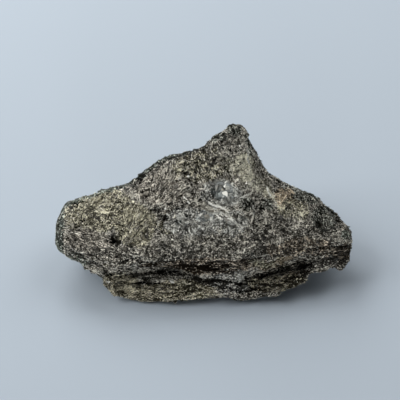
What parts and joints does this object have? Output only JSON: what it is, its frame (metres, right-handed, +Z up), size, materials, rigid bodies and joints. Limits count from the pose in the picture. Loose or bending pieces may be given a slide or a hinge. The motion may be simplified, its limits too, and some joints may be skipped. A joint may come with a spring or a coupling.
{
  "type": "nuummite rock specimen",
  "caption": "Rough, wedge-shaped hand specimen of foliated dark amphibole rock, with a broad sloping upper face, a pointed ridge and a ledge under its front lip.",
  "frame": {"origin": "middle of the rock's box, on the level that it lies on", "axes": "+X along the length, +Y from the front to the back, +Z up"},
  "size_m": [0.102, 0.05, 0.045],
  "materials": {
    "amphibole_rock": "rough broken surface of interlocking grey, olive and near-black amphibole needles, with small glints"
  },
  "bodies": {
    "root": {"nuummite": "amphibole_rock"}
  },
  "joints": []
}
